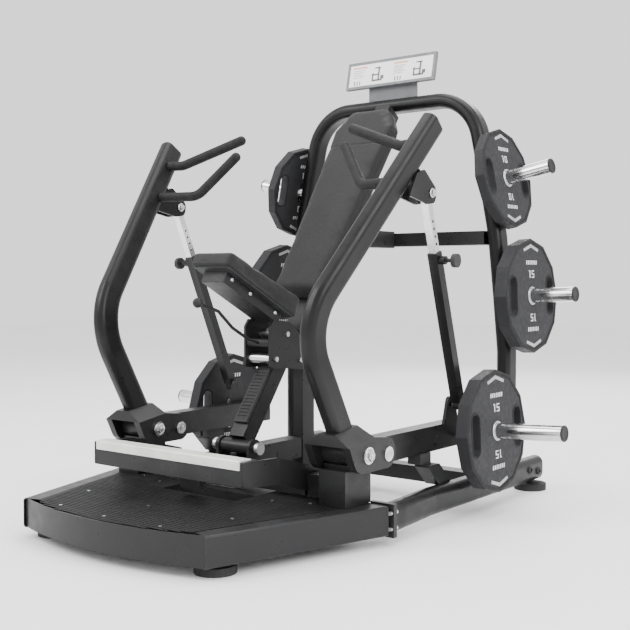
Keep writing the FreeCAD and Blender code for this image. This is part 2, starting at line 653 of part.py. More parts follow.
def pivot_pins(side, way):
    """Headed pins through the clevis: the swing pivot and the lever's own hinge."""
    centre_x = way * size("sizes.pivot_x")
    half = size("sizes.clevis_outside / 2")
    pins = []
    for name, y, z, radius, head in (
            ("swing", 0, size("sizes.pivot_z"), "sizes.pivot_pin_radius", "24"),
            ("lever", size("sizes.lever_pin_y"), size("sizes.lever_pin_z"),
             "sizes.lever_pin_radius", "21")):
        start = Vector(centre_x - half, y, z)
        shank = rod(f"{name}_shank_{side}", radius, "sizes.clevis_outside", start, ALONG_X)
        caps = [rod(f"{name}_head_{side}_{edge + 1}", head, "7",
                    Vector(centre_x + edge * half, y, z), ALONG_X * edge) for edge in (-1, 1)]
        pins.append(fuse(f"{name}_pin_{side}", [shank] + caps))
    keep("pivot_pins_" + side, group("pivot_pins_" + side, pins))


def arm_path(way):
    return [Vector(way * 416, -19, 318), Vector(way * 414, -182, 622), Vector(way * 540, 263, 1203)]


def handle_arm(side, way):
    """Flat-oval tube from the clevis forward and up to the bend, then back and outward."""
    tube = swept(arm_path(way), size("sizes.arm_bend_radius"), size("sizes.arm_width"),
                 size("sizes.arm_depth"), 20, ALONG_X)
    keep("handle_arm_" + side, feature("handle_arm_" + side, tube))


def grips(side, way):
    """Two rubber-covered bars that turn inward from each arm."""
    radius = size("sizes.grip_radius")
    lower = [Vector(476, 150, 1027), Vector(339, 189, 1027), Vector(227, 259, 1157)]
    upper = [Vector(500, 214, 1140), Vector(450, 232, 1140), Vector(233, 293, 1216)]
    bars = []
    for name, path in (("lower", lower), ("upper", upper)):
        bar = round_bar(path, 60, radius)
        if way < 0:
            bar = bar.mirror(Vector(), ALONG_X)
        bars.append(feature(f"grip_{name}_{side}", bar))
    keep("grips_" + side, group("grips_" + side, bars))


LINK_FOOT = Vector(486, 515, 350)
LINK_HEAD = Vector(516, 262, 1000)


def link_bracket(side, way):
    """Two ears behind the arm that take the head of the adjusting link."""
    outline = flat([(142, 985), (182, 1052), (222, 1066), (290, 1012), (282, 972), (240, 966)])
    ears = []
    for name, offset in (("inner", -20.5), ("outer", 20.5)):
        ear = padded(f"link_ear_{name}_{side}", "YZ_Plane", rounded(outline, [6, 10, 14, 26, 20, 20]), "6")
        ears.append(place(ear, Vector(way * (LINK_HEAD.x + offset), 0, 0)))
    bolt = rod("link_head_bolt_" + side, "sizes.link_pin_radius", "52",
               Vector(way * LINK_HEAD.x - 26, LINK_HEAD.y, LINK_HEAD.z), ALONG_X)
    web = box("link_web_" + side, "36", "12", "40", Vector(way * LINK_HEAD.x, 196, 1046), -35)
    keep("link_bracket_" + side, fuse("link_bracket_" + side, ears + [bolt, web]))


def load_lever(side, way):
    """Straight lever hinged in the clevis, with the tab for the adjusting link."""
    x = way * (size("sizes.pivot_x") + 12)
    y = size("sizes.lever_pin_y")
    z = size("sizes.lever_pin_z")
    nose = y - 36
    outline = flat([(nose, z - 39), (size("sizes.lever_end_y"), z - 39),
                    (size("sizes.lever_end_y"), z + 39), (nose, z + 39)])
    outer = padded("lever_bar_" + side, "YZ_Plane", rounded(outline, [30, 4, 4, 30]), "sizes.lever_width")
    place(outer, Vector(x, 0, 0))
    hollow = box("lever_hollow_" + side, "sizes.lever_width - 8", "440", "sizes.lever_height - 8",
                 Vector(x, 400, z))
    bore = rod("lever_bore_" + side, "sizes.lever_pin_radius + sizes.running_gap", "160",
               Vector(x - 80, y, z), ALONG_X)
    tab_outline = flat([(470, 285), (560, 285), (536, 376), (496, 376)])
    tab = padded("lever_tab_" + side, "YZ_Plane", rounded(tab_outline, [4, 4, 20, 20]), "10")
    place(tab, Vector(way * (LINK_FOOT.x - 30), 0, 0))
    pin = rod("link_foot_pin_" + side, "sizes.link_pin_radius", "52",
              Vector(way * (LINK_FOOT.x - 36), LINK_FOOT.y, LINK_FOOT.z), ALONG_X * way)
    body = cut("lever_tube_" + side, cut("lever_shell_" + side, outer, hollow), bore)
    keep("load_lever_" + side, fuse("load_lever_" + side, [body, tab, pin]))
    keep("lever_horn_" + side, horn("lever", side, way))


def link_direction(way):
    return Vector(way * (LINK_HEAD.x - LINK_FOOT.x), LINK_HEAD.y - LINK_FOOT.y,
                  LINK_HEAD.z - LINK_FOOT.z).normalize()


def link(side, way):
    """Telescopic link: outer sleeve on the lever, inner tube, and the sprung pop pin."""
    foot = Vector(way * LINK_FOOT.x, LINK_FOOT.y, LINK_FOOT.z)
    heading = link_direction(way)
    across = (ALONG_X - heading * ALONG_X.dot(heading)).normalize()
    turn = Rotation(across, heading.cross(across), heading, "ZXY")

    def square(name, width, length, start):
        block = DOC.addObject("Part::Box", f"{name}_{side}")
        for prop, formula in (("Length", width), ("Width", width), ("Height", length)):
            block.setExpression(prop, formula)
        half = size(width) / 2
        corner = turn.multVec(Vector(half, half, 0))
        block.Placement = Placement(foot + heading * start - corner, turn)
        return block

    eye = rod("sleeve_eye_" + side, "16", "24", Vector(way * LINK_FOOT.x - 12, foot.y, foot.z), ALONG_X)
    eye_bore = rod("sleeve_eye_bore_" + side, "sizes.link_pin_radius + sizes.running_gap", "40",
                   Vector(way * LINK_FOOT.x - 20, foot.y, foot.z), ALONG_X)
    shell = cut("sleeve_shell_" + side, square("sleeve_outside", "sizes.sleeve_size", "500", 14),
                square("sleeve_inside", "sizes.link_tube_size + 2 * sizes.link_gap", "480", 34.5))
    pin_place = foot + heading * 490
    boss = rod("pin_boss_" + side, "13", "26", pin_place + across * way * 10, across * way)
    pin_bore = rod("pin_bore_" + side, "6", "60", pin_place + across * way * 6, across * way)
    clear = square("sleeve_clear", "sizes.link_tube_size + 2 * sizes.link_gap", "470", 40)
    solid = fuse("sleeve_solid_" + side, [shell, eye, boss])
    holes = fuse("sleeve_holes_" + side, [eye_bore, pin_bore, clear])
    keep("link_sleeve_" + side, cut("link_sleeve_" + side, solid, holes))

    length = (LINK_HEAD - LINK_FOOT).Length
    tube = square("tube_outside", "sizes.link_tube_size", str(length - 232), 220)
    bore = square("tube_inside", "sizes.link_tube_size - 5", str(length - 260), 219)
    head = rod("tube_eye_" + side, "17", "22",
               Vector(way * LINK_HEAD.x - 11, LINK_HEAD.y, LINK_HEAD.z), ALONG_X)
    slack = rod("tube_eye_bore_" + side, "sizes.link_pin_radius + 3", "40",
                Vector(way * LINK_HEAD.x - 20, LINK_HEAD.y, LINK_HEAD.z), ALONG_X)
    holes = [rod(f"tube_hole_{side}_{i}", "5", "60", foot + heading * (540 + 24 * i) - across * 30,
                 across) for i in range(4)]
    solid = fuse("tube_solid_" + side, [cut("tube_shell_" + side, tube, bore), head])
    keep("link_tube_" + side, cut("link_tube_" + side, solid, fuse("tube_holes_" + side, holes + [slack])))

    stem = rod("pin_stem_" + side, "5.95", "52", pin_place + across * way * 12.8, across * way)
    knob = rod("pin_knob_" + side, "21", "14", pin_place + across * way * 62, across * way)
    keep("pop_pin_" + side, fuse("pop_pin_" + side, [stem, knob]))


def bump_stops(bumper_block):
    """Inclined posts on the rear rails with the rubber blocks that the levers rest on."""
    stops, rubbers = [], [bumper_block]
    for side, way in SIDES.items():
        outline = flat([(330, 180), (400, 180), (470, 112), (400, 112)])
        post = padded("stop_post_" + side, "YZ_Plane", rounded(outline, [4] * 4), "50")
        stops.append(place(post, Vector(way * 462, 0, 0)))
        rubbers.append(box("stop_rubber_" + side, "46", "60", "32.4", Vector(way * 436, 364, 196.4)))
    keep("stop_posts", group("stop_posts", stops))
    keep("rubber_bumpers", group("rubber_bumpers", rubbers))


# ------------------------------------------------------------------ assembly

side_rails()
front_fascia()
deck()
deck_screws()
rear_rails()
crossbeams()
feet()
pivot_posts()
bumper_bar, block = foot_bar()
keep("frame_bolts", group("frame_bolts", seat_frame(bumper_bar) + flange_bolts()))
seat()
release_lever()
back_rest()
arch()
horns()
weight_plates()
sign()
bump_stops(block)
for side_name, sign_of_x in SIDES.items():
    for build in (pivot_box, pivot_pins, handle_arm, grips, link_bracket, load_lever, link):
        build(side_name, sign_of_x)

DOC.recompute()
for item in DOC.Objects:
    if {"Invalid", "Error"} & set(item.State):
        raise RuntimeError(f"{item.Label} failed: {item.State}")

setback = Placement(Vector(0, -size("(sizes.rear_reach - sizes.front_reach) / 2"), 0), Rotation())
os.makedirs("parts", exist_ok=True)
for node in NODES:
    node.Placement = setback.multiply(node.Placement)
DOC.recompute()
for node in NODES:
    if node.Shape.isNull() or not node.Shape.isValid():
        raise RuntimeError(f"{node.Label} has no valid shape")
    node.Shape.exportStep(f"parts/{node.Label}.step")
    print(node.Label, len(node.Shape.Solids), round(node.Shape.Volume / 1000, 1))
print(len(NODES), "sub-parts")
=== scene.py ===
import json
import math

import bmesh
import bpy
from mathutils import Matrix, Vector


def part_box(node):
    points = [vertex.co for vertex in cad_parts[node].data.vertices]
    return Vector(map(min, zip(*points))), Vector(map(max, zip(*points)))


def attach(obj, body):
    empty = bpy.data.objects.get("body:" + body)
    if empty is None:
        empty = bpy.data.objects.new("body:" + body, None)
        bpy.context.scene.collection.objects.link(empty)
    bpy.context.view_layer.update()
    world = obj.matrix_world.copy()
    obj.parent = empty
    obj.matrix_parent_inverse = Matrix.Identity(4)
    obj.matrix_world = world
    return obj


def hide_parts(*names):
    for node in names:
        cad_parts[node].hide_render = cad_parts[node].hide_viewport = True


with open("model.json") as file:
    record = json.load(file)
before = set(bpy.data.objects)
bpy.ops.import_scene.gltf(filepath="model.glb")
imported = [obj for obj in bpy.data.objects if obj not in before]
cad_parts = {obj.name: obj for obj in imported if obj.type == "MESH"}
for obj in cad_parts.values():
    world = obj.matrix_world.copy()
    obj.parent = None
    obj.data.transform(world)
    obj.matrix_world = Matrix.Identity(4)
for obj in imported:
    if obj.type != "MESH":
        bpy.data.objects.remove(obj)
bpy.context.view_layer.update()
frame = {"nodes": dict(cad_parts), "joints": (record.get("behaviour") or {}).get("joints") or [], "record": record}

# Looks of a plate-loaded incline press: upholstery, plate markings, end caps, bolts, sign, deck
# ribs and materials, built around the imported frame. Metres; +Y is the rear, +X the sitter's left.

NODES = frame["nodes"]
JOINTS = {joint["name"]: joint for joint in frame["joints"]}
SIDES = {"left": 1, "right": -1}
UP = Vector((0, 0, 1))
REAR = Vector((0, 1, 0))
OUTWARD = Vector((1, 0, 0))
MM = 0.001


# ------------------------------------------------------------------ materials

class Look:
    """A node material: a principled shader with procedural colour, roughness and relief."""

    def __init__(self, name, metallic=0.0, specular=0.5, coat=0.0):
        self.material = bpy.data.materials.new(name)
        self.material.use_nodes = True
        self.tree = self.material.node_tree
        self.shader = self.tree.nodes["Principled BSDF"]
        self.shader.inputs["Metallic"].default_value = metallic
        self.shader.inputs["Specular IOR Level"].default_value = specular
        self.shader.inputs["Coat Weight"].default_value = coat
        self.place = self.tree.nodes.new("ShaderNodeTexCoord").outputs["Object"]
        self.normal = None

    def node(self, kind, **inputs):
        made = self.tree.nodes.new(kind)
        for name, value in inputs.items():
            socket = made.inputs[name.replace("_", " ")]
            if isinstance(value, bpy.types.NodeSocket):
                self.tree.links.new(value, socket)
            else:
                socket.default_value = value
        return made

    def stretched(self, x, y, z):
        """The object's coordinates, scaled along each axis."""
        mapping = self.node("ShaderNodeMapping", Vector=self.place)
        mapping.inputs["Scale"].default_value = (x, y, z)
        return mapping.outputs["Vector"]

    def noise(self, scale, detail=3.0, place=None, distortion=0.0):
        made = self.node("ShaderNodeTexNoise", Vector=place or self.place, Scale=scale, Detail=detail,
                         Distortion=distortion)
        return made.outputs["Fac"]

    def cells(self, scale, feature="DISTANCE_TO_EDGE", place=None):
        made = self.node("ShaderNodeTexVoronoi", Vector=place or self.place, Scale=scale)
        made.feature = feature
        return made.outputs["Distance"]

    def remap(self, value, low, high, start=0.3, end=0.7):
        made = self.node("ShaderNodeMapRange", Value=value)
        made.inputs["From Min"].default_value = start
        made.inputs["From Max"].default_value = end
        made.inputs["To Min"].default_value = low
        made.inputs["To Max"].default_value = high
        return made.outputs["Result"]

    def mix(self, factor, first, second):
        made = self.tree.nodes.new("ShaderNodeMix")
        made.data_type = "RGBA"
        colours = [s for s in made.inputs if s.type == "RGBA"]
        self.tree.links.new(factor, made.inputs[0])
        for socket, value in zip(colours, (first, second)):
            if isinstance(value, bpy.types.NodeSocket):
                self.tree.links.new(value, socket)
            else:
                socket.default_value = (*value, 1.0)
        return [s for s in made.outputs if s.type == "RGBA"][0]

    def colour(self, socket):
        self.tree.links.new(socket, self.shader.inputs["Base Color"])

    def roughness(self, socket):
        self.tree.links.new(socket, self.shader.inputs["Roughness"])

    def relief(self, height, strength, distance):
        """Bump from a height, added on top of the bumps already there."""
        bump = self.node("ShaderNodeBump", Height=height, Strength=strength, Distance=distance)
        if self.normal:
            self.tree.links.new(self.normal, bump.inputs["Normal"])
        self.normal = bump.outputs["Normal"]
        self.tree.links.new(self.normal, self.shader.inputs["Normal"])

    def edges(self, start=0.52, end=0.62):
        """1 on sharp outer edges, 0 elsewhere."""
        geometry = self.tree.nodes.new("ShaderNodeNewGeometry")
        return self.remap(geometry.outputs["Pointiness"], 0.0, 1.0, start, end)


def powder_coat():
    """Black powder coat: fine orange peel, faint cloudy sheen, sharp edges lighter, partly worn paint and partly a
    painted highlight.
    """
    look = Look("powder_coat", specular=0.22)
    tone = look.mix(look.remap(look.noise(7, 4), 0, 1), (0.0045, 0.0045, 0.0048), (0.0085, 0.0085, 0.009))
    # sharp outer edges lightened: partly worn paint, partly a painted edge highlight
    tone = look.mix(look.edges(0.53, 0.66), tone, (0.020, 0.020, 0.021))
    look.colour(tone)
    look.roughness(look.remap(look.noise(26, 5), 0.26, 0.40))
    look.relief(look.noise(900, 2), 0.16, 0.0004)
    look.relief(look.noise(60, 2), 0.05, 0.001)
    return look.material


def upholstery():
    """Matte black synthetic leather: pebbled grain with fine creases."""
    look = Look("upholstery", specular=0.2)
    look.shader.inputs["Sheen Weight"].default_value = 0.04
    look.shader.inputs["Sheen Roughness"].default_value = 0.5
    tone = look.mix(look.remap(look.noise(9, 5), 0, 1), (0.013, 0.013, 0.0135), (0.020, 0.020, 0.0205))
    pores = look.remap(look.cells(620), 0, 1, 0.0, 0.12)
    tone = look.mix(pores, (0.008, 0.008, 0.0085), tone)
    look.colour(tone)
    look.roughness(look.remap(look.noise(140, 4), 0.50, 0.68))
    look.relief(look.cells(620), 0.30, 0.0006)
    look.relief(look.noise(240, 5, distortion=0.6), 0.16, 0.0006)
    look.relief(look.noise(16, 3), 0.08, 0.004)
    return look.material


def plate_rubber():
    """Charcoal urethane with a moulded sand texture and scuffs."""
    look = Look("plate_rubber", specular=0.18)
    scuffs = look.remap(look.noise(38, 8, place=look.stretched(1, 1, 3.5)), 0, 1, 0.56, 0.72)
    tone = look.mix(scuffs, (0.007, 0.007, 0.0075), (0.013, 0.013, 0.014))
    # sharp outer edges lightened: a painted edge highlight
    tone = look.mix(look.edges(0.53, 0.62), tone, (0.024, 0.024, 0.026))
    look.colour(tone)
    look.roughness(look.remap(look.noise(70, 6), 0.46, 0.66))
    look.relief(look.noise(1500, 2), 0.22, 0.0004)
    look.relief(look.noise(45, 4), 0.06, 0.001)
    return look.material


def steel(name, low, high, rough, stretch):
    """Bright plated steel with fine lines along one axis."""
    look = Look(name, metallic=1.0)
    look.colour(look.mix(look.remap(look.noise(30, 4), 0, 1), low, high))
    lines = look.noise(900, 3, place=look.stretched(*stretch))
    look.roughness(look.remap(lines, *rough))
    look.relief(lines, 0.05, 0.0002)
    look.relief(look.noise(18, 3), 0.03, 0.002)
    return look.material


def soft_black(name, low, high, rough, grain, depth=0.3):
    """Matte black rubber or plastic with a fine moulded grain."""
    look = Look(name, specular=0.2)
    tone = look.mix(look.remap(look.noise(22, 5), 0, 1), low, high)
    # sharp outer edges lightened: a painted edge highlight
    look.colour(look.mix(look.edges(), tone, tuple(1.8 * part for part in high)))
    look.roughness(look.remap(look.noise(120, 4), *rough))
    look.relief(look.noise(grain, 3), depth, 0.0004)
    look.relief(look.cells(grain * 0.6), depth * 0.5, 0.0003)
    return look.material


def grip_rubber():
    """Rubber sleeve with a fine crosswise ripple."""
    look = Look("grip_rubber", specular=0.2)
    look.colour(look.mix(look.remap(look.noise(60, 5), 0, 1), (0.009, 0.009, 0.0095),
                         (0.016, 0.016, 0.0165)))
    look.roughness(look.remap(look.noise(160, 4), 0.52, 0.72))
    ripple = look.node("ShaderNodeTexWave", Vector=look.place, Scale=150.0, Distortion=1.2)
    ripple.wave_type = "BANDS"
    ripple.bands_direction = "X"
    look.relief(ripple.outputs["Fac"], 0.10, 0.0004)
    look.relief(look.noise(700, 3), 0.25, 0.0004)
    return look.material


def deck_mat():
    """Dark deck board with long wood-like figure and dust in its grain."""
    look = Look("deck_mat", specular=0.18)
    figure = look.noise(9, 9, place=look.stretched(1.2, 26, 1), distortion=0.7)
    tone = look.mix(look.remap(figure, 0, 1, 0.40, 0.62), (0.005, 0.005, 0.0055), (0.012, 0.012, 0.0125))
    look.colour(look.mix(look.remap(look.noise(5, 5), 0, 0.5), tone, (0.016, 0.016, 0.016)))
    look.roughness(look.remap(figure, 0.46, 0.70))
    look.relief(figure, 0.35, 0.0012)
    look.relief(look.noise(600, 3), 0.2, 0.0004)
    return look.material


def tread_metal():
    look = Look("tread_metal", metallic=0.55, specular=0.5)
    look.colour(look.mix(look.remap(look.noise(14, 6), 0, 1), (0.70, 0.70, 0.67), (0.86, 0.86, 0.84)))
    lines = look.noise(500, 3, place=look.stretched(0.04, 1, 1))
    look.roughness(look.remap(lines, 0.34, 0.52))
    look.relief(lines, 0.12, 0.0003)
    return look.material


def painted(name, low, high, rough=(0.35, 0.5), peel=500):
    """Plain paint or print: slight mottle, fine relief."""
    look = Look(name)
    look.colour(look.mix(look.remap(look.noise(24, 4), 0, 1), low, high))
    look.roughness(look.remap(look.noise(80, 3), *rough))
    look.relief(look.noise(peel, 2), 0.10, 0.0003)
    return look.material


LOOKS = {
    "frame": powder_coat(),
    "upholstery": upholstery(),
    "plates": plate_rubber(),
    "chrome": steel("chrome", (0.66, 0.66, 0.66), (0.80, 0.80, 0.80), (0.10, 0.24), (0.03, 1, 1)),
    "fasteners": steel("zinc", (0.55, 0.55, 0.56), (0.72, 0.72, 0.73), (0.22, 0.38), (1, 1, 1)),
    "rubber": soft_black("rubber", (0.010, 0.010, 0.010), (0.018, 0.018, 0.018), (0.62, 0.80), 900),
    "plastic": soft_black("plastic", (0.012, 0.012, 0.013), (0.020, 0.020, 0.021), (0.42, 0.58), 1300),
    "grips": grip_rubber(),
    "deck": deck_mat(),
    "tread": tread_metal(),
    "sign_frame": painted("sign_grey", (0.10, 0.105, 0.11), (0.14, 0.145, 0.15)),
    "sign_panel": painted("sign_white", (0.78, 0.78, 0.77), (0.86, 0.86, 0.85), (0.25, 0.36)),
}
PRINT = {
    "dark": painted("print_dark", (0.020, 0.022, 0.026), (0.032, 0.034, 0.038), (0.25, 0.36)),
    "grey": painted("print_grey", (0.30, 0.30, 0.31), (0.42, 0.42, 0.43), (0.25, 0.36)),
    "orange": painted("print_orange", (0.62, 0.20, 0.08), (0.74, 0.30, 0.14), (0.25, 0.36)),
    "white": painted("print_white", (0.62, 0.62, 0.62), (0.78, 0.78, 0.78), (0.4, 0.55)),
}


def dress_frame():
    """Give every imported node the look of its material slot."""
    for entry in frame["record"]["subparts"]:
        node = NODES[entry["node"]]
        node.data.materials.clear()
        node.data.materials.append(LOOKS[entry["material_slot"]])


# ------------------------------------------------------------------ mesh helpers

def piece(name, bm, look, body, smooth=40.0):
    """Turn a bmesh into a finished piece that rides on a body."""
    bmesh.ops.remove_doubles(bm, verts=bm.verts, dist=1e-6)
    bmesh.ops.recalc_face_normals(bm, faces=bm.faces)
    mesh = bpy.data.meshes.new(name)
    bm.to_mesh(mesh)
    bm.free()
    made = bpy.data.objects.new(name, mesh)
    bpy.context.scene.collection.objects.link(made)
    mesh.materials.append(look)
    mesh.shade_smooth()
    mesh.set_sharp_from_angle(angle=math.radians(smooth))
    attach(made, body)
    return made


def facing(axis, across=None):
    """Rotation that turns +Z to the axis, with +X near 'across'."""
    axis = axis.normalized()
    across = across or (OUTWARD if abs(axis.x) < 0.9 else REAR)
    side = (across - axis * axis.dot(across)).normalized()
    return Matrix((side, axis.cross(side), axis)).transposed().to_4x4()


def at(centre, axis, across=None):
    return Matrix.Translation(centre) @ facing(axis, across)


def spin(bm, profile, matrix, steps=40, close=False):
    """Add a turned shape: (radius, height) pairs around +Z of the matrix."""
    rings = []
    for radius, height in profile:
        ring = []
        for i in range(steps):
            turn = 2 * math.pi * i / steps
            spot = Vector((radius * math.cos(turn), radius * math.sin(turn), height))
            ring.append(bm.verts.new(matrix @ spot))
        rings.append(ring)
    pairs = list(zip(rings, rings[1:])) + ([(rings[-1], rings[0])] if close else [])
    for lower, upper in pairs:
        for i in range(steps):
            j = (i + 1) % steps
            bm.faces.new((lower[i], lower[j], upper[j], upper[i]))
    if not close:
        for ring in (rings[0], rings[-1]):
            bm.faces.new(ring)


def slab(bm, outline, matrix, thickness, edge=0.0):
    """Add a plate: a 2D outline raised along +Z of the matrix, with a small rounded top edge."""
    middle = sum((Vector((*p, 0)) for p in outline), Vector()) / len(outline)
    levels = [(0.0, 0.0)]
    if edge > 0:
        levels += [(thickness - edge, 0.0), (thickness - 0.3 * edge, 0.3 * edge), (thickness, edge)]
    else:
        levels += [(thickness, 0.0)]
    rings = []
    for height, inset in levels:
        ring = []
        for p in outline:
            spot = Vector((*p, 0))
            spot += (middle - spot).normalized() * inset
            ring.append(bm.verts.new(matrix @ (spot + UP * height)))
        rings.append(ring)
    count = len(outline)
    for lower, upper in zip(rings, rings[1:]):
        for i in range(count):
            j = (i + 1) % count
            bm.faces.new((lower[i], lower[j], upper[j], upper[i]))
    bm.faces.new(rings[0])
    bm.faces.new(rings[-1])


def rectangle(width, height, x=0.0, y=0.0):
    w, h = width / 2, height / 2
    return [(x - w, y - h), (x + w, y - h), (x + w, y + h), (x - w, y + h)]


def polygon(sides, radius, turn=0.0):
    steps = [turn + 2 * math.pi * i / sides for i in range(sides)]
    return [(radius * math.cos(a), radius * math.sin(a)) for a in steps]


def hex_bolt(bm, centre, axis, radius, height=None):
    """Washer, chamfered hexagon head and a small stud end."""
    height = height or radius * 0.62
    matrix = at(centre, axis)
    spin(bm, [(radius * 1.28, 0), (radius * 1.28, radius * 0.12), (radius * 1.2, radius * 0.18),
              (0.001, radius * 0.18)], matrix)
    base = matrix @ Matrix.Translation((0, 0, radius * 0.18))
    slab(bm, polygon(6, radius, 0.3), base, height, radius * 0.12)
    spin(bm, [(radius * 0.5, 0), (radius * 0.5, height * 1.25), (radius * 0.42, height * 1.4)], base, 24)


def socket_screw(bm, centre, axis, radius):
    """Round button head with a hexagon socket."""
    matrix = at(centre, axis)
    profile = [(radius, 0), (radius * 0.98, radius * 0.25), (radius * 0.8, radius * 0.5),
               (radius * 0.5, radius * 0.6), (radius * 0.42, radius * 0.3), (radius * 0.1, radius * 0.3)]
    spin(bm, profile, matrix, 24)


def end_loop(node, axis, keep=lambda spot: True):
    """Outer outline and centre of a node's flat end that faces along the axis."""
    axis = axis.normalized()
    spots = [v.co.copy() for v in NODES[node].data.vertices if keep(v.co)]
    reach = max(spot.dot(axis) for spot in spots)
    rim = [spot for spot in spots if spot.dot(axis) > reach - 0.4 * MM]
    lows = [min(spot[i] for spot in rim) for i in range(3)]
    highs = [max(spot[i] for spot in rim) for i in range(3)]
    centre = (Vector(lows) + Vector(highs)) / 2
    matrix = at(centre, axis)
    local = [matrix.inverted() @ spot for spot in rim]
    flat = [(spot.x, spot.y) for spot in local]
    hull = convex(flat)
    return hull, matrix


def convex(points):
    """Convex hull, anticlockwise."""
    points = sorted(set((round(x, 6), round(y, 6)) for x, y in points))

    def chain(run):
        kept = []
        for p in run:
            while len(kept) > 1 and cross(kept[-2], kept[-1], p) <= 1e-12:
                kept.pop()
            kept.append(p)
        return kept[:-1]

    def cross(a, b, c):
        return (b[0] - a[0]) * (c[1] - a[1]) - (b[1] - a[1]) * (c[0] - a[0])

    return chain(points) + chain(reversed(points))


def end_cap(bm, node, axis, thickness=4 * MM, keep=lambda spot: True):
    """A plastic plug over an open tube end: a rim as wide as the tube and a shallow dome."""
    hull, matrix = end_loop(node, axis, keep)
    slab(bm, hull, matrix, thickness, thickness * 0.8)


# ------------------------------------------------------------------ upholstery

SEAT_SLOPE = math.radians(-27.4)
BACK_SLOPE = math.radians(56.0)


def cushion(name, node, slope, body, seams, corner=16 * MM, cap=7 * MM):
    """Padded piece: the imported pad's shape, rounded and swelled by a short cloth run, then seamed.
    'slope' turns the pad's underside level; 'seams' are (share of the length, depth) channels."""
    turn = Matrix.Rotation(slope, 4, "X")
    mesh = NODES[node].data.copy()
    mesh.transform(turn.inverted() @ NODES[node].matrix_world)
    pad = bpy.data.objects.new(name, mesh)
    bpy.context.scene.collection.objects.link(pad)
    spots = [v.co for v in mesh.vertices]
    low = Vector(min(v[i] for v in spots) for i in range(3))
    high = Vector(max(v[i] for v in spots) for i in range(3))
    middle = (low + high) / 2
    for vertex in mesh.vertices:
        for i in range(3):
            span = (high[i] - low[i]) / 2
            vertex.co[i] = middle[i] + (vertex.co[i] - middle[i]) * (span - 2.5 * MM) / span
    bake_modifier(pad, "BEVEL", width=corner, segments=4, limit_method="ANGLE", angle_limit=math.radians(35))
    bake_modifier(pad, "REMESH", mode="VOXEL", voxel_size=5.5 * MM)
    start = [v.co.copy() for v in pad.data.vertices]
    swell(pad)
    floor = low.z + 10 * MM
    for vertex, before in zip(pad.data.vertices, start):
        move = vertex.co - before
        if move.length > cap:
            move *= cap / move.length
        if before.z < floor:
            move *= 0.0
        vertex.co = before + move
    bake_modifier(pad, "SMOOTH", factor=0.5, iterations=4)
    bake_modifier(pad, "SUBSURF", levels=1)
    for vertex in pad.data.vertices:
        for share, depth in seams:
            gap = abs(vertex.co.y - (low.y + share * (high.y - low.y)))
            if vertex.co.z > floor and gap < 10 * MM:
                vertex.co.z -= depth * math.exp(-(gap / (2.4 * MM)) ** 2)
    piping(name, pad, turn, low, high, body)
    pad.data.transform(turn)
    pad.data.materials.clear()
    pad.data.materials.append(LOOKS["upholstery"])
    pad.data.shade_smooth()
    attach(pad, body)
    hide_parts(node)
    return pad


def piping(name, pad, turn, low, high, body):
    """Backing board under the pad, held by two rows of staples' width inside its edge."""
    level = low.z + 4 * MM
    rim = [(v.co.x, v.co.y) for v in pad.data.vertices if v.co.z < level + 8 * MM]
    outline = convex(rim)
    middle = Vector(((low.x + high.x) / 2, (low.y + high.y) / 2))
    inset = [tuple(Vector(p) + (middle - Vector(p)).normalized() * 12 * MM) for p in outline]
    bm = bmesh.new()
    slab(bm, inset, turn @ Matrix.Translation((0, 0, low.z - 1.0 * MM)), 5 * MM)
    piece(name + "_board", bm, LOOKS["plastic"], body)


def bake_modifier(target, kind, **settings):
    modifier = target.modifiers.new(kind.lower(), kind)
    for key, value in settings.items():
        setattr(modifier, key, value)
    freeze(target)


def freeze(target):
    """Replace the object's mesh by its shape with modifiers."""
    graph = bpy.context.evaluated_depsgraph_get()
    mesh = bpy.data.meshes.new_from_object(target.evaluated_get(graph))
    target.modifiers.clear()
    target.data = mesh


def swell(target):
    """Twenty frames of cloth under slight pressure, without gravity."""
    modifier = target.modifiers.new("cloth", "CLOTH")
    settings = modifier.settings
    settings.use_pressure = True
    settings.uniform_pressure_force = 4.0
    settings.effector_weights.gravity = 0.0
    settings.quality = 5
    settings.tension_stiffness = 30.0
    settings.compression_stiffness = 30.0
    settings.shear_stiffness = 20.0
    settings.bending_stiffness = 6.0
    modifier.point_cache.frame_start = 1
    modifier.point_cache.frame_end = 20
    scene = bpy.context.scene
    for step in range(1, 21):
        scene.frame_set(step)
    freeze(target)
    scene.frame_set(1)


# ------------------------------------------------------------------ weight plates and horns

PLATES = {"upper": (174, 32, "10"), "middle": (194, 42, "15"), "lever": (195, 40, "15")}


def plate_trim():
    """Hub ring, rim edging, grip edging, chevrons and weight figures on both faces of each plate."""
    for name, (radius, thickness, figure) in PLATES.items():
        for side, way in SIDES.items():
            label = f"{name}_{side}"
            body = f"plate_{label}"
            axis = Vector(JOINTS[f"plate_slide_{label}"]["axis"]).normalized()
            lowest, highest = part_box(f"weight_plate_{label}")
            centre = (Vector(lowest) + Vector(highest)) / 2
            for face in (1, -1):
                direction = axis * face
                across = UP.cross(direction).normalized()
                matrix = at(centre, direction, across) @ Matrix.Translation((0, 0, thickness / 2 * MM))
                tag = f"{label}_{'outer' if face > 0 else 'inner'}"
                hub_ring(tag, matrix, body)
                rim_edging(tag, matrix, radius, body)
                grip_edging(tag, matrix, radius, body)
                plate_print(tag, matrix, radius, figure, body)


def hub_ring(tag, matrix, body):
    bm = bmesh.new()
    spin(bm, [(25.7 * MM, -12 * MM), (25.7 * MM, 1.2 * MM), (26.6 * MM, 2.0 * MM), (30.2 * MM, 2.0 * MM),
              (31.0 * MM, 1.2 * MM), (31.0 * MM, -12 * MM)], matrix, 56, close=True)
    piece(f"hub_ring_{tag}", bm, LOOKS["fasteners"], body)


